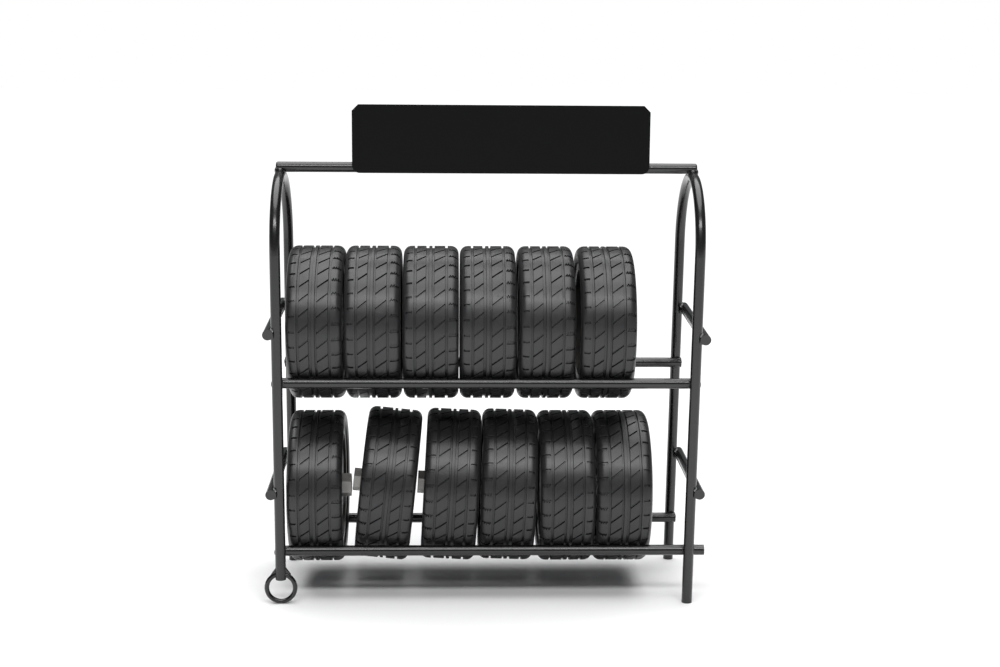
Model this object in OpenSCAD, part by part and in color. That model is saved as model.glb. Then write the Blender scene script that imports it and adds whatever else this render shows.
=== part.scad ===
// Two-tier storage rack for scale-model car wheels: a frame of welded round rod,
// a blank sign plate and twelve loose wheels that lie across pairs of rails.
// X runs along the rails, Y from front (-) to back (+), Z up. Origin: centre of the
// footprint on the surface that the rack stands on.

/* [Rod frame] */
// Diameter of the frame rod
rod_d = 4; // [3:0.1:5]
// Distance from a hoop's front leg to its back leg, centre to centre
leg_spacing = 55.4; // [46:0.2:66.6]
// How far crossing rods are pressed into each other where they are welded
set_down = 1; // [0.4:0.1:1.4]
// Outward lean of the right hoop, degrees
right_lean = 0.65; // [0:0.05:1.5]
// Outward lean of the left hoop, degrees
left_lean = 0.2; // [0:0.05:1.5]

/* [Rails] */
// How much higher the front rail of a pair sits than the rear one
rail_rise = 1.4; // [0:0.1:3]
// Length of each rail past the centre plane of each hoop
rail_tail = 1.9; // [1:0.1:6]
// Length of the lower front rail past the right hoop
long_rail_tail = 6.25; // [2:0.05:8]
// Length of the top bar past the apex of each hoop
top_bar_tail = 1.6; // [1:0.1:6]

/* [Side bars] */
// Height of the upper right side bar's front end above the upper rails
upper_right_bar_up = 18.4; // [10:0.1:30]
// Height of the upper left side bar's front end above the upper rails
upper_left_bar_up = 20; // [10:0.1:30]
// Height of the lower side bars' front ends above the lower rails
lower_bar_up = 24.2; // [10:0.1:40]
// Fall of the upper side bars from back to front
upper_bar_fall = 2.9; // [0:0.1:5]
// Fall of the lower side bars from back to front
lower_bar_fall = 1.8; // [0:0.1:5]
// Length of a side bar past the face of each leg
side_bar_tail = 0.6; // [0.2:0.1:3]

/* [Ring foot] */
// Outer diameter of the ring under the left front leg
ring_d = 12.6; // [10:0.1:15.2]
// Diameter of the ring's wire
ring_wire_d = 1.8; // [1.2:0.1:2.4]
// How far the end of the leg reaches into the ring's opening
ring_leg_dip = 1.2; // [0.2:0.1:2]

/* [Sign plate] */
// Width of the sign plate
sign_w = 113.8; // [90:0.2:140]
// Height of the sign plate
sign_h = 26; // [18:0.2:40]
// Thickness of the sign plate
sign_t = 1; // [0.6:0.1:2]
// Distance from the middle of the rack to the middle of the sign
sign_shift = 5.6; // [-15:0.1:15]
// Clipped length of the two top corners
sign_clip = 2.4; // [0.5:0.1:6]
// Radius of the two bottom corners
sign_corner_r = 3; // [0.5:0.1:6]

/* [Wheels] */
// Outer diameter of a tyre
tyre_d = 59.3; // [49:0.1:72]
// Width of a tyre
tyre_w = 21.2; // [17:0.1:26]
// Radial height of a tyre, from the rim's seat to the tread
tyre_wall = 7.65; // [6:0.05:10]
// Radius of the tread's shoulders
shoulder_r = 3; // [1.5:0.1:4]
// Radial gap left between a tyre and the rails that it rests on
rest_gap = 0.12; // [0.08:0.01:0.4]
// Gap between the lower tyres and the floor
floor_gap = 9.61; // [9:0.01:20]
// Gap between the lower tyres and the upper ones
tier_gap = 6.2; // [4:0.1:20]
// Gap between the upper tyres and the top bar
head_gap = 28.49; // [20:0.01:60]
// Free room between the last upper tyre and the right hoop
upper_room = 20.2; // [1:0.1:60]
// Free room between the last lower tyre and the right hoop
lower_room = 12.06; // [1:0.01:60]

/* [Rims and hubs] */
// How far a rim's flanges lie inside the sides of its tyre
flange_inset = 1.1; // [0.4:0.1:3]
// Wall of the rim's barrel
rim_wall = 1.6; // [1:0.1:2.4]
// Thickness of the rim's web
web_t = 3; // [2:0.1:5]
// Depth of the web behind the rim's flange
web_inset = 1; // [0.4:0.1:4]
// Width of the hexagonal hub across its flats
hub_af = 8; // [6:0.1:10]
// Wall of the rim's centre boss at the corners of the hub
boss_wall = 1.68; // [1:0.01:3]
// Length of a hub inside its rim
hub_seat = 6; // [4:0.5:15]
// Diameter of the axle hole through a hub
axle_d = 3; // [2:0.1:4]

/* [Hidden] */
$fn = 96;
JOIN_GAP = 0.02;                // between pieces that are welded or pressed together
SLOPE_GAP = 0.14;               // extra lift of a wheel that leans on its shoulder
BEAD_R = rod_d * 0.6;           // radius of a weld bead where two rods cross
BEAD_T = set_down + 0.2;        // its thickness, which bridges both rods
APEX_BEAD_R = rod_d * 0.56;     // radius of the bead between an arch and the top bar
ROD_R = rod_d / 2;
BAR_END_R = rod_d * 0.2;        // rounding of the top bar's ends
CROSSING = rod_d - set_down;    // distance between the centres of crossing rods

TYRE_R = tyre_d / 2;
SEAT_R = TYRE_R - tyre_wall;
TREAD_FLAT = tyre_w / 2 - shoulder_r;  // half of the tread's width between its shoulders
SHOULDER_SIDES = 12;            // flat sides of the circle that rounds a shoulder
FLANGE_H = 1.2;                 // height and width of a rim flange above its barrel
FLANGE_X = tyre_w / 2 - flange_inset;  // half of the width across the rim's flanges
BEAD_X = FLANGE_X - FLANGE_H - JOIN_GAP;  // the same of the tyre's beads between them
HUB_R = hub_af / 2 / cos(30);
BOSS_R = HUB_R + boss_wall;
WEB_X = FLANGE_X - web_inset - web_t;  // back face of the web
BOSS_X = WEB_X + web_t - hub_seat;     // inner end of the boss

LEG_Y = leg_spacing / 2;
RAIL_Y = LEG_Y - CROSSING;
ARCH_R = LEG_Y;
SIDE_BAR_Y = LEG_Y + ROD_R + side_bar_tail;

// A wheel rests on two rails: the height of its centre over the middle of the pair
RAIL_SPAN = norm([2 * RAIL_Y, rail_rise]);
RAIL_TILT = atan2(rail_rise, 2 * RAIL_Y);
CRADLE = sqrt(pow(TYRE_R + ROD_R + rest_gap, 2) - pow(RAIL_SPAN / 2, 2));
CRADLE_H = CRADLE * cos(RAIL_TILT);
WHEEL_Y = CRADLE * sin(RAIL_TILT);

// Heights follow from the wheels, from the floor up
LOWER_RAIL_Z = floor_gap + TYRE_R - CRADLE_H;
UPPER_RAIL_Z = LOWER_RAIL_Z + tyre_d + tier_gap;
TOP_BAR_Z = UPPER_RAIL_Z + CRADLE_H + TYRE_R + head_gap + ROD_R;
ARCH_Z = TOP_BAR_Z - CROSSING - ARCH_R;  // centre of each arch
LEAN_Z = ARCH_Z / 2;            // height at which the hoops are HOOP_SPACING apart

// Wheels from left to right: [gap to the hoop or wheel on its left, lean to the right
// in degrees, side that the web faces, length of hub that stands out of the web's side]
UPPER_WHEELS = [
    [1.06, 0, 1, 0], [0.6, 0, 1, 0], [0.8, 0, 1, 0],
    [0.5, 0, 1, 0], [1.1, 0, 1, 0], [1.8, 0, 1, 0]];
LOWER_WHEELS = [
    [0.33, 0, 1, 2.2], [0.26, 6, -1, 3.3], [0.53, 3, -1, 2.5],
    [0.56, 2, -1, 0], [0.46, 0, -1, 0], [0.6, 0, -1, 0]];

// A tier is [height of its rails, its wheels]
UPPER = [UPPER_RAIL_Z, UPPER_WHEELS];
LOWER = [LOWER_RAIL_Z, LOWER_WHEELS];

// Distance along X from a wheel's middle to one side of its tyre
function half_width(wheel) = tyre_w / 2 / cos(wheel[1]);

// How far leaning one wheel more than the other parts them, for faces out to radius r
function lean_room(a, b, r) = r * abs(tan(b[1]) - tan(a[1]));

// Length of hub that stands out of a wheel's side; side is -1 left or 1 right
function hub_out(wheel, side) = wheel[2] == side ? wheel[3] : 0;

// Distance between the middles of a wheel and the next one on its right, which keeps
// its gap both between the tyres and between the hubs
function pitch(a, b) = half_width(a) + half_width(b) + b[0]
    + max(lean_room(a, b, TYRE_R - shoulder_r),
          hub_out(a, 1) + hub_out(b, -1) + lean_room(a, b, HUB_R));

// Distance from the left hoop's inner face to the middle of a tier's wheel i
function wheel_run(wheels, i) = i == 0
    ? wheels[0][0] + half_width(wheels[0]) + lean_room([0, 0], wheels[0], TYRE_R - shoulder_r)
    : wheel_run(wheels, i - 1) + pitch(wheels[i - 1], wheels[i]);

// Distance between the hoops that a tier needs, with the room kept on its right
function tier_need(tier, room) =
    let (last = len(tier[1]) - 1, wheel = tier[1][last])
    rod_d + wheel_run(tier[1], last) + half_width(wheel)
    + lean_room([0, 0], wheel, TYRE_R - shoulder_r) + room
    - (tier[0] - LEAN_Z) * (tan(right_lean) + tan(left_lean));

HOOP_SPACING = max(tier_need(UPPER, upper_room), tier_need(LOWER, lower_room));

// Distance of a hoop's centre plane from the middle of the rack at height z
function hoop_x(side, z) =
    HOOP_SPACING / 2 + (z - LEAN_Z) * tan(side > 0 ? right_lean : left_lean);

// Height of one rail of a tier; face is -1 front or 1 rear
function rail_z(tier, face) = tier[0] - face * rail_rise / 2;

// Middle of wheel i of a tier in X and in Z
function wheel_x(tier, i) = ROD_R - hoop_x(-1, tier[0]) + wheel_run(tier[1], i);
function wheel_z(tier, i) =
    let (lean = tier[1][i][1])
    tier[0] + CRADLE_H + (lean == 0 ? 0 : TREAD_FLAT * sin(lean) + SLOPE_GAP);

PAINT = [0.03, 0.03, 0.032];
RUBBER = [0.11, 0.11, 0.115];
ALLOY = [0.62, 0.62, 0.6];
HUB_METAL = [0.72, 0.71, 0.68];

// ---- Rods ----

// Round rod from one point to another
module rod(from, to, d = rod_d) {
    run = to - from;
    translate(from)
        rotate([0, acos(run.z / norm(run)), atan2(run.y, run.x)])
            cylinder(d = d, h = norm(run));
}

// Places its children in a hoop's leaning plane; side is -1 left or 1 right
module lean_at(side) {
    translate([side * hoop_x(side, 0), 0, 0])
        rotate([0, side * (side > 0 ? right_lean : left_lean), 0])
            children();
}

// One rod bent into an upside-down U, with its feet cut level; grow widens the rod
module hoop_rod(side, grow = 0) {
    front_z = side < 0 ? ring_d - ring_wire_d - ring_leg_dip : 0;
    difference() {
        lean_at(side) {
            for (face = [-1, 1])
                translate([0, face * LEG_Y, -rod_d])
                    cylinder(d = rod_d + 2 * grow, h = ARCH_Z + rod_d);
            translate([0, 0, ARCH_Z])
                rotate([90, 0, 90])
                    rotate_extrude(angle = 180)
                        translate([ARCH_R, 0])
                            circle(d = rod_d + 2 * grow);
        }
        foot_cut(side, -1, front_z);
        foot_cut(side, 1, 0);
    }
}

// Block that cuts one leg off level at height z
module foot_cut(side, face, z) {
    size = 4 * rod_d;
    translate([side * hoop_x(side, 0) - size / 2, face * LEG_Y - size / 2, -size])
        cube([size, size, size + z]);
}

// Both hoops, wider by the joining gap, as the cutter for what is welded to them
module hoop_seats() {
    hoop_rod(-1, JOIN_GAP);
    hoop_rod(1, JOIN_GAP);
}

// Uncut rail of a tier; face is -1 front or 1 rear
module rail_rod(tier, face, grow = 0) {
    z = rail_z(tier, face);
    right_tail = tier == LOWER && face < 0 ? long_rail_tail : rail_tail;
    rod([-hoop_x(-1, z) - rail_tail, face * RAIL_Y, z],
        [hoop_x(1, z) + right_tail, face * RAIL_Y, z], rod_d + 2 * grow);
}

module rail(tier, face) {
    color(PAINT)
        difference() {
            rail_rod(tier, face);
            hoop_seats();
        }
}

// A side bar is [side, height of its front end, fall from back to front]
LEFT_UPPER_BAR = [-1, UPPER_RAIL_Z + upper_left_bar_up, upper_bar_fall];
LEFT_LOWER_BAR = [-1, LOWER_RAIL_Z + lower_bar_up, lower_bar_fall];
RIGHT_UPPER_BAR = [1, UPPER_RAIL_Z + upper_right_bar_up, upper_bar_fall];
RIGHT_LOWER_BAR = [1, LOWER_RAIL_Z + lower_bar_up, lower_bar_fall];
SIDE_BARS = [LEFT_UPPER_BAR, LEFT_LOWER_BAR, RIGHT_UPPER_BAR, RIGHT_LOWER_BAR];

// Point on a side bar's axis; face runs from -1 at its front end to 1 at its back end
function bar_point(bar, face) =
    let (z = bar[1] + bar[2] * (1 + face) / 2)
    [bar[0] * (hoop_x(bar[0], z) + CROSSING), face * SIDE_BAR_Y, z];

// Uncut side bar across the outer faces of a hoop's two legs
module side_bar_rod(bar, grow = 0) {
    rod(bar_point(bar, -1), bar_point(bar, 1), rod_d + 2 * grow);
}

module side_bar(bar) {
    color(PAINT)
        difference() {
            side_bar_rod(bar);
            hoop_seats();
        }
}

// Uncut top bar with slightly rounded ends
module top_bar_rod(grow = 0) {
    left = -hoop_x(-1, TOP_BAR_Z) - top_bar_tail;
    right = hoop_x(1, TOP_BAR_Z) + top_bar_tail;
    translate([left, 0, TOP_BAR_Z])
        rotate([0, 90, 0])
            rotate_extrude() {
                square([ROD_R - BAR_END_R + grow, right - left]);
                translate([0, BAR_END_R])
                    square([ROD_R + grow, right - left - 2 * BAR_END_R]);
                for (y = [BAR_END_R, right - left - BAR_END_R])
                    translate([ROD_R - BAR_END_R, y])
                        intersection() {
                            circle(r = BAR_END_R + grow);
                            translate([0, -BAR_END_R - grow])
                                square(2 * (BAR_END_R + grow));
                        }
            }
}

module top_bar() {
    color(PAINT)
        difference() {
            top_bar_rod();
            hoop_seats();
        }
}

// ---- Ring foot ----

RING_R = (ring_d - ring_wire_d) / 2;
RING_AT = [-hoop_x(-1, ring_d / 2), -LEG_Y, ring_d / 2];

module ring_torus(grow = 0) {
    translate(RING_AT)
        rotate([90, 0, 0])
            rotate_extrude()
                translate([RING_R, 0])
                    circle(d = ring_wire_d + 2 * grow);
}

// Wire ring whose two ends are welded to the sides of the leg
module ring_foot() {
    color(PAINT)
        difference() {
            ring_torus();
            hoop_seats();
        }
}

// ---- Welds ----

// One straight leg of a hoop, longer than the hoop itself, as a cutter
module leg_cutter(side, face) {
    lean_at(side)
        translate([0, face * LEG_Y, -rod_d])
            cylinder(d = rod_d + 2 * JOIN_GAP, h = ARCH_Z + rod_d);
}

// Flat round bead of weld metal between two crossing rods; turn points its axis
// from one rod to the other
module bead(at, turn) {
    translate(at) rotate(turn) cylinder(r = BEAD_R, h = BEAD_T, center = true);
}

// Bead around the contact of a leg with the crossing rod that is given as a child
module leg_bead(side, face, at, turn) {
    difference() {
        bead(at, turn);
        leg_cutter(side, face);
        children();
    }
}

module rail_welds() {
    color(PAINT)
        for (tier = [LOWER, UPPER], face = [-1, 1], side = [-1, 1]) {
            z = rail_z(tier, face);
            at = [side * hoop_x(side, z), face * (LEG_Y - CROSSING / 2), z];
            leg_bead(side, face, at, [90, 0, 0])
                rail_rod(tier, face, JOIN_GAP);
        }
}

module side_bar_welds() {
    color(PAINT)
        for (bar = SIDE_BARS, face = [-1, 1]) {
            side = bar[0];
            at = bar_point(bar, face * LEG_Y / SIDE_BAR_Y) - [side * CROSSING / 2, 0, 0];
            leg_bead(side, face, at, [0, 90, 0])
                side_bar_rod(bar, JOIN_GAP);
        }
}

module top_bar_welds() {
    color(PAINT)
        for (side = [-1, 1])
            difference() {
                translate([side * hoop_x(side, TOP_BAR_Z), 0, TOP_BAR_Z - CROSSING / 2])
                    sphere(r = APEX_BEAD_R);
                hoop_rod(side, JOIN_GAP);
                top_bar_rod(JOIN_GAP);
            }
}

RING_WELD_T = ring_wire_d * 0.8;       // thickness of the weld between the leg and the ring
RING_WELD_ANGLE = 37;                  // how far it runs round the ring on each side
RING_WELD_EDGE = 0.25;                 // its thickness above the ring at its two ends
RING_WELD_UP = 1.5;                    // its height up the leg, above the ring

// Outline of that weld, with its origin at the ring's centre
module ring_weld_outline() {
    r = ring_d / 2;
    reach = r * sin(RING_WELD_ANGLE);
    edge = r * cos(RING_WELD_ANGLE) + RING_WELD_EDGE;
    difference() {
        polygon([[-reach, 0], [reach, 0], [reach, edge], [ROD_R, r + RING_WELD_UP],
                 [-ROD_R, r + RING_WELD_UP], [-reach, edge]]);
        circle(r = r + JOIN_GAP);
    }
}

// Fillet that flares from the leg onto the top of the ring
module ring_weld() {
    color(PAINT)
        difference() {
            translate(RING_AT + [0, RING_WELD_T / 2, 0])
                rotate([90, 0, 0])
                    linear_extrude(RING_WELD_T)
                        ring_weld_outline();
            leg_cutter(-1, -1);
        }
}

// ---- Sign ----

SIGN_Y = -ROD_R - JOIN_GAP;           // back face of the sign, against the top bar
SIGN_Z = TOP_BAR_Z - ROD_R;           // bottom edge of the sign, level with the bar's
SIGN_BEAD_R = rod_d * 0.35;           // radius of the beads behind the sign
SIGN_BEAD_Y = rod_d * 0.15;           // distance of their centres behind the sign
SIGN_BEAD_X = sign_w / 2 - 13.7;      // distance of the outer ones from its middle

module sign_outline() {
    w = sign_w / 2;
    difference() {
        translate([-w, 0]) square([sign_w, sign_h]);
        for (side = [-1, 1]) {
            translate([side * w, sign_h])
                rotate(45)
                    square(sign_clip * sqrt(2), center = true);
            translate([side * (w - sign_corner_r / 2), sign_corner_r / 2])
                square(sign_corner_r, center = true);
        }
    }
    for (side = [-1, 1])
        translate([side * (w - sign_corner_r), sign_corner_r])
            circle(r = sign_corner_r);
}

module sign_plate() {
    color(PAINT)
        translate([sign_shift, SIGN_Y, SIGN_Z])
            rotate([90, 0, 0])
                linear_extrude(sign_t)
                    sign_outline();
}

// Three short beads that hold the sign to the top of the bar, behind it
module sign_welds() {
    color(PAINT)
        difference() {
            for (side = [-1:1])
                translate([sign_shift + side * SIGN_BEAD_X, SIGN_Y + SIGN_BEAD_Y,
                           TOP_BAR_Z + ROD_R])
                    sphere(r = SIGN_BEAD_R);
            top_bar_rod(JOIN_GAP);
            translate([-HOOP_SPACING, SIGN_Y - rod_d, 0])
                cube([2 * HOOP_SPACING, rod_d + JOIN_GAP, 2 * TOP_BAR_Z]);
        }
}

// ---- Wheels ----

// Puts what was built on its own X axis into the place of a tier's wheel i
module at_wheel(tier, i) {
    translate([wheel_x(tier, i), WHEEL_Y, wheel_z(tier, i)])
        rotate([0, tier[1][i][1], 0])
            children();
}

// Revolves an outline of [radius, position along the axle] about the X axis
module about_axle() {
    rotate([0, 90, 0]) rotate_extrude() children();
}

module tyre_outline() {
    translate([SEAT_R + JOIN_GAP, -BEAD_X])
        square([TYRE_R - shoulder_r - SEAT_R - JOIN_GAP, 2 * BEAD_X]);
    translate([SEAT_R + FLANGE_H + JOIN_GAP, -tyre_w / 2])
        square([TYRE_R - shoulder_r - SEAT_R - FLANGE_H - JOIN_GAP, tyre_w]);
    translate([SEAT_R + FLANGE_H + JOIN_GAP, -TREAD_FLAT])
        square([TYRE_R - SEAT_R - FLANGE_H - JOIN_GAP, 2 * TREAD_FLAT]);
    for (side = [-1, 1])
        translate([TYRE_R - shoulder_r, side * TREAD_FLAT])
            circle(r = shoulder_r, $fn = SHOULDER_SIDES);
}

module tyre(tier, i) {
    color(RUBBER)
        at_wheel(tier, i)
            about_axle()
                tyre_outline();
}

// Barrel, flanges, disc web and centre boss of a rim, with the web towards +X
module rim_outline() {
    translate([SEAT_R - rim_wall, -FLANGE_X]) square([rim_wall, 2 * FLANGE_X]);
    for (x = [-FLANGE_X, FLANGE_X - FLANGE_H])
        translate([SEAT_R - rim_wall, x]) square([rim_wall + FLANGE_H, FLANGE_H]);
    translate([0, WEB_X]) square([SEAT_R - rim_wall / 2, web_t]);
    translate([0, BOSS_X]) square([BOSS_R, WEB_X + web_t - BOSS_X]);
}

// Hexagonal bar along X from one station to another
module hex_bar(from, to, r) {
    translate([from, 0, 0])
        rotate([0, 90, 0])
            cylinder(r = r, h = to - from, $fn = 6);
}

// Turns a part that faces +X to face the other way when side is -1
module facing(side) {
    rotate([0, 0, side < 0 ? 180 : 0]) children();
}

module rim(tier, i) {
    color(ALLOY)
        at_wheel(tier, i)
            facing(tier[1][i][2])
                difference() {
                    about_axle() rim_outline();
                    hex_bar(BOSS_X - 1, FLANGE_X, HUB_R + JOIN_GAP);
                }
}

// Hexagonal hub with an axle hole; it ends flush with the web or stands out past the tyre
module hub(tier, i) {
    out = tier[1][i][3];
    outer = out > 0 ? tyre_w / 2 + out : WEB_X + web_t;
    color(HUB_METAL)
        at_wheel(tier, i)
            facing(tier[1][i][2])
                difference() {
                    hex_bar(BOSS_X, outer, HUB_R);
                    translate([BOSS_X - 1, 0, 0])
                        rotate([0, 90, 0])
                            cylinder(d = axle_d, h = outer - BOSS_X + 2);
                }
}

module left_hoop() { color(PAINT) hoop_rod(-1); }
module right_hoop() { color(PAINT) hoop_rod(1); }
module upper_front_rail() { rail(UPPER, -1); }
module upper_rear_rail() { rail(UPPER, 1); }
module lower_front_rail() { rail(LOWER, -1); }
module lower_rear_rail() { rail(LOWER, 1); }
module left_upper_side_bar() { side_bar(LEFT_UPPER_BAR); }
module left_lower_side_bar() { side_bar(LEFT_LOWER_BAR); }
module right_upper_side_bar() { side_bar(RIGHT_UPPER_BAR); }
module right_lower_side_bar() { side_bar(RIGHT_LOWER_BAR); }

left_hoop();
right_hoop();
top_bar();
upper_front_rail();
upper_rear_rail();
lower_front_rail();
lower_rear_rail();
left_upper_side_bar();
left_lower_side_bar();
right_upper_side_bar();
right_lower_side_bar();
ring_foot();
sign_plate();
rail_welds();
side_bar_welds();
top_bar_welds();
ring_weld();
sign_welds();

// The twelve wheels: a tyre, a rim and a hub each, numbered from the left
tyre(UPPER, 0);  // upper_tyre_1
tyre(UPPER, 1);  // upper_tyre_2
tyre(UPPER, 2);  // upper_tyre_3
tyre(UPPER, 3);  // upper_tyre_4
tyre(UPPER, 4);  // upper_tyre_5
tyre(UPPER, 5);  // upper_tyre_6
tyre(LOWER, 0);  // lower_tyre_1
tyre(LOWER, 1);  // lower_tyre_2
tyre(LOWER, 2);  // lower_tyre_3
tyre(LOWER, 3);  // lower_tyre_4
tyre(LOWER, 4);  // lower_tyre_5
tyre(LOWER, 5);  // lower_tyre_6
rim(UPPER, 0);  // upper_rim_1
rim(UPPER, 1);  // upper_rim_2
rim(UPPER, 2);  // upper_rim_3
rim(UPPER, 3);  // upper_rim_4
rim(UPPER, 4);  // upper_rim_5
rim(UPPER, 5);  // upper_rim_6
rim(LOWER, 0);  // lower_rim_1
rim(LOWER, 1);  // lower_rim_2
rim(LOWER, 2);  // lower_rim_3
rim(LOWER, 3);  // lower_rim_4
rim(LOWER, 4);  // lower_rim_5
rim(LOWER, 5);  // lower_rim_6
hub(UPPER, 0);  // upper_hub_1
hub(UPPER, 1);  // upper_hub_2
hub(UPPER, 2);  // upper_hub_3
hub(UPPER, 3);  // upper_hub_4
hub(UPPER, 4);  // upper_hub_5
hub(UPPER, 5);  // upper_hub_6
hub(LOWER, 0);  // lower_hub_1
hub(LOWER, 1);  // lower_hub_2
hub(LOWER, 2);  // lower_hub_3
hub(LOWER, 3);  // lower_hub_4
hub(LOWER, 4);  // lower_hub_5
hub(LOWER, 5);  // lower_hub_6
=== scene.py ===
"""A small tyre storage rack: two rows of wheels on rod rails between two hoops, under a blank sign."""

import logging
import math
from dataclasses import dataclass, field
from enum import Enum
from typing import Callable

import bpy
from mathutils import Matrix, Vector


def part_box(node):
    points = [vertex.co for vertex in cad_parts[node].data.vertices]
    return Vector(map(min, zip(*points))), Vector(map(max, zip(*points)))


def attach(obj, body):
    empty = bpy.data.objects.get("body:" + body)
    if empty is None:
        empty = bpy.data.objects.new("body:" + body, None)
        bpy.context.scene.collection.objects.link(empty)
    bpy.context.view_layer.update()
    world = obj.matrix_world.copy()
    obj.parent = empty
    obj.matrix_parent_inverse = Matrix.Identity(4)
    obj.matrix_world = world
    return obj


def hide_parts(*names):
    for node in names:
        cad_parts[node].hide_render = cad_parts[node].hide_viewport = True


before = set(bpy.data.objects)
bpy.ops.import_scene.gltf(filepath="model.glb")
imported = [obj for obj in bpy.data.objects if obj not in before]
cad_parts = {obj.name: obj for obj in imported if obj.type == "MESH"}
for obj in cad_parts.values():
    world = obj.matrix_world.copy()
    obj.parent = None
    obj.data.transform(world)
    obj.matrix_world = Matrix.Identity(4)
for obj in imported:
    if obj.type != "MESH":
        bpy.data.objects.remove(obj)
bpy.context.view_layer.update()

MM = 0.001
CUT_SNAP = 0.0005
WELD = 0.002
SEAM_WELD = 0.004
SHORT = 0.01
MIX_FACTOR, MIX_LOW, MIX_HIGH, MIX_RESULT = 0, 6, 7, 2
COAT_ROUGHNESS = 0.12
SHEEN_ROUGHNESS = 0.4
SCUFF_ROUGHNESS = 0.18
GRAIN_STRENGTH = 0.6
LOG = logging.getLogger("tyre_rack")
FaceTest = Callable[[Vector, Vector], bool]


class Tier(Enum):
    """The two rows of wheels."""

    UPPER = "upper"
    LOWER = "lower"


class ToothedSide(Enum):
    """Which way the shoulder with the toothed notches faces."""

    RIGHT = 0.0
    LEFT = math.pi


# ---------------------------------------------------------------- working in edit mode


class Bench:
    """Short ways to pick parts of a mesh by place and work on them with the edit-mode tools."""

    @staticmethod
    def alone(piece: bpy.types.Object) -> None:
        """Selects one object only and makes it active.

        Args:
            piece: the object to select.
        """
        bpy.ops.object.select_all(action="DESELECT")
        piece.select_set(True)
        bpy.context.view_layer.objects.active = piece

    @staticmethod
    def faces(piece: bpy.types.Object, test: FaceTest) -> int:
        """Selects the faces that pass a test and opens edit mode.

        Args:
            piece: the object to pick from.
            test: takes a face's centre and normal.

        Returns:
            The number of faces picked.
        """
        Bench.alone(piece)
        bpy.ops.object.mode_set(mode="EDIT")
        bpy.ops.mesh.select_mode(type="FACE")
        bpy.ops.mesh.select_all(action="DESELECT")
        bpy.ops.object.mode_set(mode="OBJECT")
        picked = 0
        for face in piece.data.polygons:
            if test(face.center, face.normal):
                face.select = True
                picked += 1
        bpy.ops.object.mode_set(mode="EDIT")
        return picked

    @staticmethod
    def edges(piece: bpy.types.Object, test: Callable[[Vector], bool]) -> None:
        """Selects the edges whose two ends pass a test and opens edit mode.

        Args:
            piece: the object to pick from.
            test: takes a corner's place.
        """
        Bench.alone(piece)
        bpy.ops.object.mode_set(mode="EDIT")
        bpy.ops.mesh.select_mode(type="EDGE")
        bpy.ops.mesh.select_all(action="DESELECT")
        bpy.ops.object.mode_set(mode="OBJECT")
        points = piece.data.vertices
        for edge in piece.data.edges:
            edge.select = all(test(points[i].co) for i in edge.vertices)
        bpy.ops.object.mode_set(mode="EDIT")

    @staticmethod
    def done() -> None:
        """Leaves edit mode."""
        bpy.ops.object.mode_set(mode="OBJECT")

    @staticmethod
    def cut(piece: bpy.types.Object, place: tuple, normal: tuple, test: FaceTest) -> None:
        """Draws a straight cut over the faces that pass a test.

        Args:
            piece: the object to cut.
            place: a point on the cutting plane.
            normal: the plane's normal.
            test: takes a face's centre and normal.
        """
        if Bench.faces(piece, test):
            bpy.ops.mesh.bisect(plane_co=place, plane_no=normal, threshold=CUT_SNAP)
        Bench.done()

    @staticmethod
    def sink(piece: bpy.types.Object, depth: float, test: FaceTest) -> None:
        """Pushes the faces that pass a test in along Y, with walls round them.

        Args:
            piece: the object to carve.
            depth: how far they go in.
            test: takes a face's centre and normal.
        """
        if Bench.faces(piece, test):
            bpy.ops.mesh.extrude_region_move(TRANSFORM_OT_translate={"value": (0.0, depth, 0.0)})
        Bench.done()

    @staticmethod
    def apply(piece: bpy.types.Object, kind: str, **values: object) -> None:
        """Adds a modifier, sets its values and applies it.

        Args:
            piece: the object to work on.
            kind: the modifier's type.
            values: the modifier's settings by name.
        """
        Bench.alone(piece)
        step = piece.modifiers.new(kind.lower(), kind)
        for name, value in values.items():
            setattr(step, name, value)
        bpy.ops.object.modifier_apply(modifier=step.name)

    @staticmethod
    def merge(piece: bpy.types.Object, distance: float) -> None:
        """Welds corners that lie together and turns every face outwards.

        Args:
            piece: the object to weld.
            distance: how near two corners lie to be welded.
        """
        Bench.faces(piece, lambda centre, normal: True)
        bpy.ops.mesh.remove_doubles(threshold=distance)
        bpy.ops.mesh.normals_make_consistent(inside=False)
        Bench.done()

    @staticmethod
    def settle(piece: bpy.types.Object, place: Matrix) -> None:
        """Moves a piece to its place and applies that to its mesh.

        Args:
            piece: the object to place.
            place: its place, turn and scale.
        """
        Bench.alone(piece)
        piece.matrix_world = place
        bpy.ops.object.transform_apply(location=True, rotation=True, scale=True)


# ---------------------------------------------------------------- shared surface effects


class Effect(Enum):
    """The node groups that several finishes share."""

    GRAIN = "grain"
    DUST = "dust"
    SCUFF = "scuff"


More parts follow.
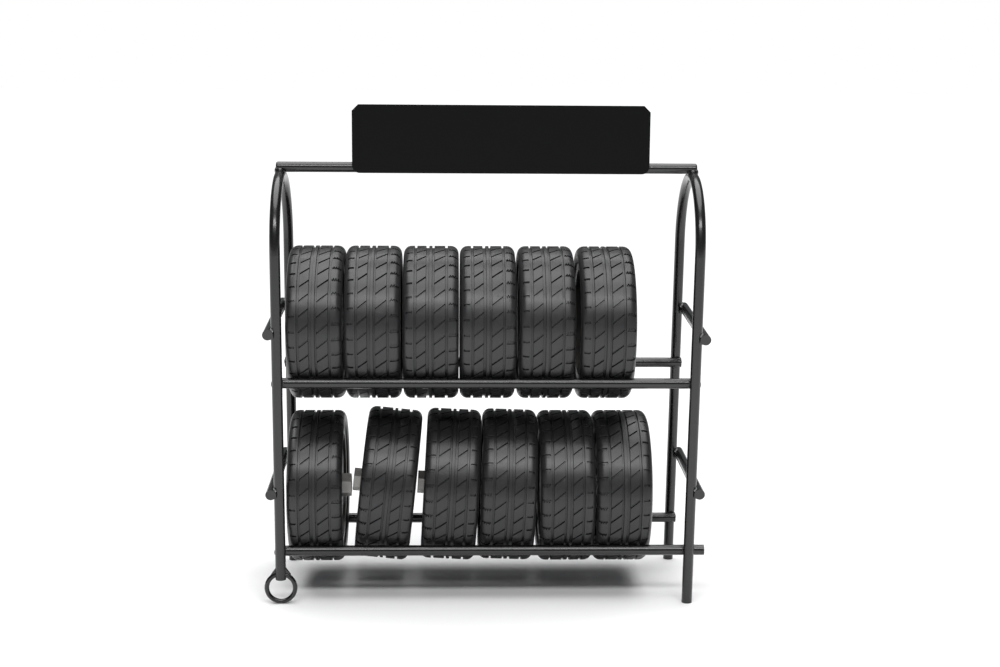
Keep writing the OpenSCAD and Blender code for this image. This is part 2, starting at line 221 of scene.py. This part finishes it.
class Effects:
    """Builds each shared node group once and places it in materials."""

    def __init__(self) -> None:
        """Builds the groups."""
        self.groups = {
            Effect.GRAIN: self._grain(),
            Effect.DUST: self._dust(),
            Effect.SCUFF: self._scuff(),
        }

    @staticmethod
    def _group(effect: Effect, inputs: dict[str, float], output: str) -> tuple:
        """Starts a node group that reads object coordinates.

        Args:
            effect: the group's name.
            inputs: its inputs and their first values.
            output: its one output.

        Returns:
            The group, its input node, its output node and its coordinates node.
        """
        group = bpy.data.node_groups.new(effect.value, "ShaderNodeTree")
        for name, value in inputs.items():
            socket = group.interface.new_socket(
                name=name, in_out="INPUT", socket_type="NodeSocketFloat"
            )
            socket.default_value = value
        group.interface.new_socket(name=output, in_out="OUTPUT", socket_type="NodeSocketFloat")
        start = group.nodes.new("NodeGroupInput")
        end = group.nodes.new("NodeGroupOutput")
        place = group.nodes.new("ShaderNodeTexCoord")
        return group, start, end, place

    def _grain(self) -> bpy.types.NodeTree:
        """Fine unevenness in two sizes, as in sprayed enamel or moulded rubber.

        Returns:
            The node group.
        """
        inputs = {"Scale": 900.0, "Coarse Share": 0.4}
        group, start, end, place = self._group(Effect.GRAIN, inputs, "Height")
        fine = group.nodes.new("ShaderNodeTexNoise")
        fine.inputs["Detail"].default_value = 3.0
        broad = group.nodes.new("ShaderNodeTexNoise")
        broad.inputs["Detail"].default_value = 2.0
        fifth = group.nodes.new("ShaderNodeMath")
        fifth.operation = "MULTIPLY"
        fifth.inputs[1].default_value = 0.2
        mix = group.nodes.new("ShaderNodeMix")
        link = group.links.new
        link(start.outputs["Scale"], fine.inputs["Scale"])
        link(start.outputs["Scale"], fifth.inputs[0])
        link(fifth.outputs[0], broad.inputs["Scale"])
        for noise in (fine, broad):
            link(place.outputs["Object"], noise.inputs["Vector"])
        link(start.outputs["Coarse Share"], mix.inputs["Factor"])
        link(fine.outputs["Fac"], mix.inputs["A"])
        link(broad.outputs["Fac"], mix.inputs["B"])
        link(mix.outputs["Result"], end.inputs["Height"])
        return group

    def _dust(self) -> bpy.types.NodeTree:
        """A patchy film that lies thickest on what faces up.

        Returns:
            The node group.
        """
        group, start, end, place = self._group(Effect.DUST, {"Scale": 60.0, "Amount": 0.3}, "Mask")
        geometry = group.nodes.new("ShaderNodeNewGeometry")
        split = group.nodes.new("ShaderNodeSeparateXYZ")
        patches = group.nodes.new("ShaderNodeTexNoise")
        patches.inputs["Detail"].default_value = 6.0
        lie = group.nodes.new("ShaderNodeMapRange")
        lie.inputs["From Min"].default_value = -0.6
        lie.inputs["To Min"].default_value = 0.15
        spread = group.nodes.new("ShaderNodeMapRange")
        spread.inputs["From Min"].default_value = 0.35
        spread.inputs["From Max"].default_value = 0.75
        both = group.nodes.new("ShaderNodeMath")
        both.operation = "MULTIPLY"
        much = group.nodes.new("ShaderNodeMath")
        much.operation = "MULTIPLY"
        link = group.links.new
        link(place.outputs["Object"], patches.inputs["Vector"])
        link(start.outputs["Scale"], patches.inputs["Scale"])
        link(geometry.outputs["Normal"], split.inputs[0])
        link(split.outputs["Z"], lie.inputs["Value"])
        link(patches.outputs["Fac"], spread.inputs["Value"])
        link(lie.outputs["Result"], both.inputs[0])
        link(spread.outputs["Result"], both.inputs[1])
        link(both.outputs[0], much.inputs[0])
        link(start.outputs["Amount"], much.inputs[1])
        link(much.outputs[0], end.inputs["Mask"])
        return group

    def _scuff(self) -> bpy.types.NodeTree:
        """Thin rubbed patches where pieces touch hands and shelves.

        Returns:
            The node group.
        """
        group, start, end, place = self._group(Effect.SCUFF, {"Scale": 140.0, "Edge": 0.66}, "Mask")
        rubbed = group.nodes.new("ShaderNodeTexNoise")
        rubbed.inputs["Detail"].default_value = 8.0
        rubbed.inputs["Roughness"].default_value = 0.65
        above = group.nodes.new("ShaderNodeMath")
        above.operation = "ADD"
        above.inputs[1].default_value = 0.1
        sharp = group.nodes.new("ShaderNodeMapRange")
        link = group.links.new
        link(place.outputs["Object"], rubbed.inputs["Vector"])
        link(start.outputs["Scale"], rubbed.inputs["Scale"])
        link(start.outputs["Edge"], above.inputs[0])
        link(start.outputs["Edge"], sharp.inputs["From Min"])
        link(above.outputs[0], sharp.inputs["From Max"])
        link(rubbed.outputs["Fac"], sharp.inputs["Value"])
        link(sharp.outputs["Result"], end.inputs["Mask"])
        return group

    def place(self, tree: bpy.types.NodeTree, effect: Effect, **values: float) -> bpy.types.Node:
        """Puts a shared group in a material.

        Args:
            tree: the material's nodes.
            effect: which group.
            values: its inputs, with underscores for spaces.

        Returns:
            The group's node.
        """
        node = tree.nodes.new("ShaderNodeGroup")
        node.node_tree = self.groups[effect]
        for name, value in values.items():
            node.inputs[name.replace("_", " ")].default_value = value
        return node


# ---------------------------------------------------------------- finishes


@dataclass(frozen=True)
class Finish:
    """One surface finish: its colours, its gloss and how uneven it is."""

    name: str
    colour: tuple[float, float, float]
    second: tuple[float, float, float]
    dusty: tuple[float, float, float]
    rough: tuple[float, float]
    grain_scale: float
    grain_depth: float
    dust: float
    scuff_edge: float = 0.68
    metallic: float = 0.0
    coat: float = 0.0
    specular: float = 0.5
    sheen: float = 0.0

    def build(self, effects: Effects) -> bpy.types.Material:
        """Makes the material.

        Args:
            effects: the shared node groups.

        Returns:
            The finished material.
        """
        material = bpy.data.materials.new(self.name)
        material.use_nodes = True
        tree = material.node_tree
        shader = tree.nodes["Principled BSDF"]
        shader.inputs["Metallic"].default_value = self.metallic
        shader.inputs["Coat Weight"].default_value = self.coat
        shader.inputs["Coat Roughness"].default_value = COAT_ROUGHNESS
        shader.inputs["Specular IOR Level"].default_value = self.specular
        shader.inputs["Sheen Weight"].default_value = self.sheen
        shader.inputs["Sheen Roughness"].default_value = SHEEN_ROUGHNESS
        grain = effects.place(tree, Effect.GRAIN, Scale=self.grain_scale)
        dust = effects.place(tree, Effect.DUST, Amount=self.dust)
        scuff = effects.place(tree, Effect.SCUFF, Edge=self.scuff_edge)
        link = tree.links.new
        worn = self._mix(tree, self.colour, self.second, scuff.outputs["Mask"])
        dull = self._mix(tree, None, self.dusty, dust.outputs["Mask"])
        link(worn.outputs[MIX_RESULT], dull.inputs[MIX_LOW])
        link(dull.outputs[MIX_RESULT], shader.inputs["Base Color"])
        gloss = tree.nodes.new("ShaderNodeMapRange")
        gloss.inputs["To Min"].default_value = self.rough[0]
        gloss.inputs["To Max"].default_value = self.rough[1]
        link(grain.outputs["Height"], gloss.inputs["Value"])
        rubbed = tree.nodes.new("ShaderNodeMath")
        rubbed.operation = "MULTIPLY_ADD"
        rubbed.inputs[1].default_value = SCUFF_ROUGHNESS
        link(scuff.outputs["Mask"], rubbed.inputs[0])
        link(gloss.outputs["Result"], rubbed.inputs[2])
        link(rubbed.outputs[0], shader.inputs["Roughness"])
        bump = tree.nodes.new("ShaderNodeBump")
        bump.inputs["Strength"].default_value = GRAIN_STRENGTH
        bump.inputs["Distance"].default_value = self.grain_depth
        link(grain.outputs["Height"], bump.inputs["Height"])
        link(bump.outputs["Normal"], shader.inputs["Normal"])
        return material

    @staticmethod
    def _mix(
        tree: bpy.types.NodeTree,
        low: tuple[float, float, float] | None,
        high: tuple[float, float, float],
        factor: bpy.types.NodeSocket,
    ) -> bpy.types.Node:
        """Adds a colour mix.

        Args:
            tree: the material's nodes.
            low: the colour where the factor is 0, or None where it is linked later.
            high: the colour where the factor is 1.
            factor: the socket that mixes them.

        Returns:
            The mix node.
        """
        node = tree.nodes.new("ShaderNodeMix")
        node.data_type = "RGBA"
        if low:
            node.inputs[MIX_LOW].default_value = (*low, 1.0)
        node.inputs[MIX_HIGH].default_value = (*high, 1.0)
        tree.links.new(factor, node.inputs[MIX_FACTOR])
        return node


ENAMEL = Finish(
    "black_enamel", (0.003, 0.003, 0.0032), (0.009, 0.009, 0.0095), (0.02, 0.02, 0.02),
    (0.2, 0.32), 500.0, 0.000008, 0.08, 0.7, coat=0.3,
)
SIGN_ENAMEL = Finish(
    "sign_enamel", (0.002, 0.002, 0.0022), (0.005, 0.005, 0.005), (0.012, 0.012, 0.012),
    (0.34, 0.44), 900.0, 0.00001, 0.04, 0.72, specular=0.12,
)
RUBBER = Finish(
    "tyre_rubber", (0.0085, 0.0085, 0.0095), (0.019, 0.018, 0.017), (0.04, 0.037, 0.034),
    (0.3, 0.46), 1400.0, 0.00003, 0.2, 0.62, specular=0.6, sheen=0.03,
)
RIM_PLASTIC = Finish(
    "rim_plastic", (0.075, 0.068, 0.062), (0.11, 0.1, 0.092), (0.14, 0.13, 0.12),
    (0.36, 0.5), 1100.0, 0.00002, 0.2, 0.66,
)
HUB_METAL = Finish(
    "hub_metal", (0.5, 0.49, 0.47), (0.33, 0.32, 0.31), (0.3, 0.29, 0.27),
    (0.26, 0.42), 1600.0, 0.00002, 0.15, 0.6, metallic=0.55,
)


def dress(node: str, material: bpy.types.Material) -> None:
    """Gives a CAD node's material slots a finish.

    Args:
        node: the node's name.
        material: the finish.
    """
    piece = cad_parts[node]
    if not piece.material_slots:
        piece.data.materials.append(material)
    for slot in piece.material_slots:
        slot.material = material


# ---------------------------------------------------------------- tyre


@dataclass
class TyreTread:
    """A tyre, modelled as one flat pitch of tread that is repeated and rolled into a ring.

    Sizes in millimetres. The flat pitch runs along X, its width lies along Z, and it faces -Y, so depth
    is +Y.
    """

    radius: float = 29.65
    half_width: float = 10.6
    shoulder: float = 3.0
    pitches: int = 32
    grooves: tuple[tuple[float, float], ...] = (
        (-6.36, -5.41), (-1.91, -0.74), (0.42, 1.27), (5.41, 6.36),
    )
    slotted_ribs: tuple[tuple[float, float], ...] = ((-5.41, -1.91), (1.27, 5.41))
    slot_slope: float = math.tan(math.radians(39.0))
    slot_half: float = 0.38
    groove_depth: float = 0.85
    slot_depth: float = 0.7
    notch_half: float = 0.42
    notch_depth: float = 0.65
    short_notch: tuple[float, float] = (-9.3, -7.0)
    long_notch: tuple[float, float] = (6.75, 10.15)
    teeth: tuple[tuple[float, float], ...] = ((7.15, 7.55), (8.05, 8.45), (8.95, 9.35))
    tooth_reach: float = 0.55
    wall: tuple[tuple[float, float], ...] = (
        (10.5, 3.5), (10.05, 4.35), (9.85, 4.45), (9.05, 5.45),
        (8.45, 6.25), (8.28, 6.43), (8.28, 7.65),
    )

    @property
    def pitch(self) -> float:
        """The length of one pitch round the tread."""
        return 2.0 * math.pi * self.radius / self.pitches

    def side_profile(self) -> list[tuple[float, float]]:
        """The shoulder and side, from the flat of the tread down to the bead.

        Returns:
            Points as (width, depth).
        """
        flat = self.half_width - self.shoulder
        points = []
        for step in range(1, 7):
            turn = math.radians(15.0 * step)
            depth = self.shoulder * (1.0 - math.cos(turn))
            points.append((flat + self.shoulder * math.sin(turn), depth))
        return points + list(self.wall)

    def build(self) -> bpy.types.Object:
        """Models one tyre about the Z axis, centred on the origin.

        Returns:
            The finished tyre, in millimetres.
        """
        strip = self._blank()
        self._mark(strip)
        self._carve(strip)
        Bench.apply(
            strip, "ARRAY", count=self.pitches,
            use_relative_offset=False, use_constant_offset=True,
            constant_offset_displace=(self.pitch, 0.0, 0.0),
            use_merge_vertices=True, merge_threshold=WELD,
        )
        Bench.merge(strip, WELD)
        Bench.apply(
            strip, "BEVEL", width=0.13, segments=1,
            limit_method="ANGLE", angle_limit=math.radians(38.0),
        )
        Bench.apply(
            strip, "SIMPLE_DEFORM", deform_method="BEND", deform_axis="Z", angle=2.0 * math.pi,
        )
        Bench.merge(strip, SEAM_WELD)
        Bench.settle(strip, Matrix.Translation((0.0, -self.radius, 0.0)))
        bpy.ops.object.shade_smooth_by_angle(angle=math.radians(33.0))
        return strip

    def _blank(self) -> bpy.types.Object:
        """Models the plain pitch: a closed loop of tread, sides and bead, open at its two ends.

        Returns:
            The plain pitch.
        """
        half = self.pitch / 2.0
        flat = self.half_width - self.shoulder
        bpy.ops.object.select_all(action="DESELECT")
        bpy.ops.mesh.primitive_plane_add(size=2.0, rotation=(math.pi / 2.0, 0.0, 0.0))
        strip = bpy.context.active_object
        strip.name = "tread_pitch"
        strip.scale = (half, flat, 1.0)
        bpy.ops.object.transform_apply(location=True, rotation=True, scale=True)
        for side in (1.0, -1.0):
            Bench.edges(strip, lambda place: abs(place.z - side * flat) < SHORT)
            last = (flat, 0.0)
            for across, depth in self.side_profile():
                step = (0.0, depth - last[1], side * (across - last[0]))
                bpy.ops.mesh.extrude_edges_move(TRANSFORM_OT_translate={"value": step})
                last = (across, depth)
            if side > 0:
                bead = last
            else:
                across = (0.0, 0.0, 2.0 * bead[0])
                bpy.ops.mesh.extrude_edges_move(TRANSFORM_OT_translate={"value": across})
            Bench.done()
        Bench.merge(strip, WELD)
        return strip

    def _on_tread(self, centre: Vector, normal: Vector) -> bool:
        """True for the faces of the tread and the rounded shoulders."""
        return centre.y < self.shoulder - 0.05 and abs(centre.z) < self.half_width - 0.02

    def _mark(self, strip: bpy.types.Object) -> None:
        """Draws the edges of every groove, slot, notch and tooth on the plain pitch.

        Args:
            strip: the plain pitch.
        """
        quarter = self.pitch / 4.0
        for along in (-quarter * 1.5, -quarter * 0.5, quarter * 0.5, quarter * 1.5):
            Bench.cut(strip, (along, 0, 0), (1, 0, 0), lambda centre, normal: True)
        for low, high in self.grooves + (self.short_notch, self.long_notch):
            for across in (low, high):
                Bench.cut(strip, (0, 0, across), (0, 0, 1), self._on_tread)
        for low, high in self.slotted_ribs:
            middle = (low + high) / 2.0
            for side in (-1.0, 1.0):
                Bench.cut(
                    strip, (side * self.slot_half, 0, middle), (1.0, 0.0, self.slot_slope),
                    lambda centre, normal: low < centre.z < high and centre.y < SHORT,
                )
        for notch, along in ((self.short_notch, quarter), (self.long_notch, -quarter)):
            for edge in (along - self.notch_half, along + self.notch_half):
                Bench.cut(
                    strip, (edge, 0, 0), (1, 0, 0),
                    lambda centre, normal: (
                        notch[0] < centre.z < notch[1] and self._on_tread(centre, normal)
                    ),
                )
        top = -quarter - self.notch_half
        low, high = self.long_notch
        Bench.cut(
            strip, (top - self.tooth_reach, 0, 0), (1, 0, 0),
            lambda centre, normal: low < centre.z < high and self._on_tread(centre, normal),
        )
        for tooth in self.teeth:
            for across in tooth:
                Bench.cut(
                    strip, (0, 0, across), (0, 0, 1),
                    lambda centre, normal: (
                        low < centre.z < high
                        and top - self.tooth_reach < centre.x < top
                        and self._on_tread(centre, normal)
                    ),
                )

    def _carve(self, strip: bpy.types.Object) -> None:
        """Sinks the grooves, slots, notches and teeth, and opens the pitch's two ends.

        Args:
            strip: the marked pitch.
        """
        quarter = self.pitch / 4.0

        def in_groove(centre: Vector, normal: Vector) -> bool:
            """True for the faces of a groove that runs round the tread."""
            return centre.y < SHORT and any(low < centre.z < high for low, high in self.grooves)

        def in_slot(centre: Vector, normal: Vector) -> bool:
            """Tells the faces of a slanting slot.

            Args:
                centre: the face's centre.
                normal: its normal, which isn't needed.

            Returns:
                True for a face of a slot.
            """
            for low, high in self.slotted_ribs:
                if low < centre.z < high and centre.y < SHORT:
                    lean = centre.x + self.slot_slope * (centre.z - (low + high) / 2.0)
                    return abs(lean) < self.slot_half
            return False

        def in_notch(centre: Vector, normal: Vector) -> bool:
            """Tells the faces of a shoulder notch or one of its teeth.

            Args:
                centre: the face's centre.
                normal: its normal, which isn't needed.

            Returns:
                True for a face of a notch or a tooth.
            """
            if not self._on_tread(centre, normal):
                return False
            low, high = self.short_notch
            if low < centre.z < high and abs(centre.x - quarter) < self.notch_half:
                return True
            low, high = self.long_notch
            top = -quarter - self.notch_half
            if low < centre.z < high and abs(centre.x + quarter) < self.notch_half:
                return True
            at_tooth = any(first < centre.z < last for first, last in self.teeth)
            return top - self.tooth_reach < centre.x < top and at_tooth

        Bench.sink(strip, self.notch_depth, in_notch)
        Bench.sink(strip, self.groove_depth, in_groove)
        Bench.sink(strip, self.slot_depth, in_slot)
        edge = self.pitch / 2.0 - SHORT
        if Bench.faces(strip, lambda centre, normal: abs(centre.x) > edge):
            bpy.ops.mesh.delete(type="FACE")
        Bench.done()
        start = -self.pitch * (self.pitches - 1) / 2.0
        Bench.settle(strip, Matrix.Translation((start, 0.0, 0.0)))


# ---------------------------------------------------------------- wheels


@dataclass
class Wheel:
    """One wheel: its place in the row, how it leans and which way its tread faces."""

    tier: Tier
    place: int
    lean: float
    side: ToothedSide
    phase: float

    @property
    def body(self) -> str:
        """The body that the wheel rides on."""
        return f"{self.tier.value}_wheel_{self.place}"

    def node(self, part: str) -> str:
        """The CAD node of one of the wheel's parts."""
        return f"{self.tier.value}_{part}_{self.place}"

    def add_tyre(self, pattern: bpy.types.Object, rubber: bpy.types.Material) -> bpy.types.Object:
        """Copies the tyre and puts it on this wheel.

        Args:
            pattern: the tyre about the Z axis, in millimetres.
            rubber: its finish.

        Returns:
            The tyre in its place.
        """
        low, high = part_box(self.node("tyre"))
        centre = (Vector(low) + Vector(high)) / 2.0
        tyre = pattern.copy()
        tyre.data = pattern.data.copy()
        tyre.name = f"{self.body}_treaded_tyre"
        bpy.context.scene.collection.objects.link(tyre)
        turn = Matrix.Rotation(math.radians(self.lean), 4, "Y")
        turn = turn @ Matrix.Rotation(self.side.value, 4, "Z")
        turn = turn @ Matrix.Rotation(math.pi / 2.0, 4, "Y") @ Matrix.Rotation(self.phase, 4, "Z")
        Bench.settle(tyre, Matrix.Translation(centre) @ turn @ Matrix.Scale(MM, 4))
        tyre.data.materials.clear()
        tyre.data.materials.append(rubber)
        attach(tyre, self.body)
        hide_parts(self.node("tyre"))
        return tyre


@dataclass
class WheelRows:
    """The twelve wheels in their two rows."""

    tread: TyreTread = field(default_factory=TyreTread)
    lower_leans: tuple[float, ...] = (0.0, 6.0, 3.0, 2.0, 0.0, 0.0)
    phases: tuple[float, ...] = (
        0.02, 0.11, 0.16, 0.06, 0.14, 0.09, 0.12, 0.03, 0.17, 0.07, 0.01, 0.1,
    )

    def wheels(self) -> list[Wheel]:
        """Lists every wheel, the upper row first.

        Returns:
            The twelve wheels.
        """
        row = [Wheel(Tier.UPPER, i + 1, 0.0, ToothedSide.RIGHT, self.phases[i]) for i in range(6)]
        for i, lean in enumerate(self.lower_leans):
            side = ToothedSide.RIGHT if i == 0 else ToothedSide.LEFT
            row.append(Wheel(Tier.LOWER, i + 1, lean, side, self.phases[i + 6]))
        return row

    def build(
        self, rubber: bpy.types.Material, plastic: bpy.types.Material, metal: bpy.types.Material
    ) -> None:
        """Models the tyre once, puts a copy on each wheel and dresses the rims and hubs.

        Args:
            rubber: the tyres' finish.
            plastic: the rims' finish.
            metal: the hubs' finish.
        """
        pattern = self.tread.build()
        for wheel in self.wheels():
            tyre = wheel.add_tyre(pattern, rubber)
            dress(wheel.node("rim"), plastic)
            dress(wheel.node("hub"), metal)
            LOG.info("%s: %d faces", tyre.name, len(tyre.data.polygons))
        bpy.data.objects.remove(pattern)


# ---------------------------------------------------------------- rack


@dataclass
class RackFrame:
    """The welded rod frame and its sign."""

    rods: tuple[str, ...] = (
        "left_hoop", "right_hoop", "top_bar",
        "upper_front_rail", "upper_rear_rail", "lower_front_rail", "lower_rear_rail",
        "left_upper_side_bar", "left_lower_side_bar",
        "right_upper_side_bar", "right_lower_side_bar", "ring_foot",
        "rail_welds", "side_bar_welds", "top_bar_welds", "ring_weld", "sign_welds",
    )
    sign: str = "sign_plate"

    def build(self, enamel: bpy.types.Material, sign_enamel: bpy.types.Material) -> None:
        """Dresses the rods and the sign.

        Args:
            enamel: the rods' finish.
            sign_enamel: the sign's finish.
        """
        for node in self.rods:
            dress(node, enamel)
            LOG.info("%s dressed", node)
        dress(self.sign, sign_enamel)
        LOG.info("%s dressed", self.sign)


# ---------------------------------------------------------------- studio


@dataclass
class Studio:
    """The pale floor, the soft lights and the camera. Sizes in metres, angles in degrees."""

    floor: float = 12.0
    shade: float = 0.86
    camera: tuple[float, float, float] = (-0.01583, -0.6468, 0.2144)
    yaw: float = -1.91
    pitch: float = -10.0
    roll: float = -0.44
    lens: float = 60.53
    boxes: tuple[tuple[tuple[float, float, float], float, float, float], ...] = (
        ((0.0, -0.66, 0.74), 0.9, 0.16, 5.0),
    )

    def build(self) -> None:
        """Lays the floor and sets the lights, the sky and the camera."""
        self._floor()
        for place, width, height, power in self.boxes:
            self._softbox(place, width, height, power)
        self._ceiling()
        self._sky()
        self._camera()

    def _floor(self) -> None:
        """A plain pale floor."""
        bpy.ops.object.select_all(action="DESELECT")
        bpy.ops.mesh.primitive_plane_add(size=self.floor)
        floor = bpy.context.active_object
        floor.name = "floor"
        material = bpy.data.materials.new("floor")
        material.use_nodes = True
        shader = material.node_tree.nodes["Principled BSDF"]
        shader.inputs["Base Color"].default_value = (self.shade, self.shade, self.shade, 1.0)
        shader.inputs["Roughness"].default_value = 0.7
        shader.inputs["Specular IOR Level"].default_value = 0.2
        floor.data.materials.append(material)

    @staticmethod
    def _ceiling() -> None:
        """Broad even light from straight above, as from a lit ceiling."""
        light = bpy.data.lights.new("ceiling", "SUN")
        light.energy = 3.7
        light.angle = math.radians(70.0)
        lamp = bpy.data.objects.new("ceiling", light)
        lamp.rotation_euler = (math.radians(-8.0), 0.0, 0.0)
        bpy.context.scene.collection.objects.link(lamp)

    @staticmethod
    def _softbox(
        place: tuple[float, float, float], width: float, height: float, power: float
    ) -> None:
        """Sets one soft light that faces the middle of the rack.

        Args:
            place: the light's middle.
            width: its width.
            height: its height.
            power: its power in watts.
        """
        light = bpy.data.lights.new("softbox", "AREA")
        light.shape = "RECTANGLE"
        light.size = width
        light.size_y = height
        light.energy = power
        lamp = bpy.data.objects.new("softbox", light)
        lamp.location = place
        aim = Vector((0.0, 0.0, 0.09)) - Vector(place)
        lamp.rotation_euler = aim.to_track_quat("-Z", "Y").to_euler()
        bpy.context.scene.collection.objects.link(lamp)

    @staticmethod
    def _sky() -> None:
        """A white surround, dimmer where it lights and reflects than where it is seen."""
        world = bpy.data.worlds.new("surround")
        bpy.context.scene.world = world
        world.use_nodes = True
        tree = world.node_tree
        tree.nodes.clear()
        seen = tree.nodes.new("ShaderNodeBackground")
        seen.inputs["Color"].default_value = (1.0, 1.0, 1.0, 1.0)
        lit = tree.nodes.new("ShaderNodeBackground")
        lit.inputs["Color"].default_value = (0.95, 0.97, 1.0, 1.0)
        lit.inputs["Strength"].default_value = 0.16
        path = tree.nodes.new("ShaderNodeLightPath")
        mix = tree.nodes.new("ShaderNodeMixShader")
        end = tree.nodes.new("ShaderNodeOutputWorld")
        tree.links.new(path.outputs["Is Camera Ray"], mix.inputs["Fac"])
        tree.links.new(lit.outputs[0], mix.inputs[1])
        tree.links.new(seen.outputs[0], mix.inputs[2])
        tree.links.new(mix.outputs[0], end.inputs["Surface"])

    def _camera(self) -> None:
        """Sets the camera in front of the rack, a little above it."""
        lens = bpy.data.cameras.new("camera")
        lens.sensor_width = 36.0
        lens.lens = self.lens
        lens.clip_start = 0.01
        camera = bpy.data.objects.new("camera", lens)
        turn = Matrix.Rotation(math.radians(self.yaw), 4, "Z")
        turn = turn @ Matrix.Rotation(math.radians(self.pitch), 4, "X")
        turn = turn @ Matrix.Rotation(math.radians(self.roll), 4, "Y")
        turn = turn @ Matrix.Rotation(math.pi / 2.0, 4, "X")
        camera.matrix_world = Matrix.Translation(self.camera) @ turn
        bpy.context.scene.collection.objects.link(camera)
        bpy.context.scene.camera = camera
        bpy.context.scene.view_settings.view_transform = "Standard"


def main() -> None:
    """Builds the finishes, the wheels, the rack and the studio."""
    logging.basicConfig(level=logging.INFO, format="%(name)s %(message)s")
    effects = Effects()
    WheelRows().build(RUBBER.build(effects), RIM_PLASTIC.build(effects), HUB_METAL.build(effects))
    RackFrame().build(ENAMEL.build(effects), SIGN_ENAMEL.build(effects))
    Studio().build()


if __name__ == "__main__":
    main()
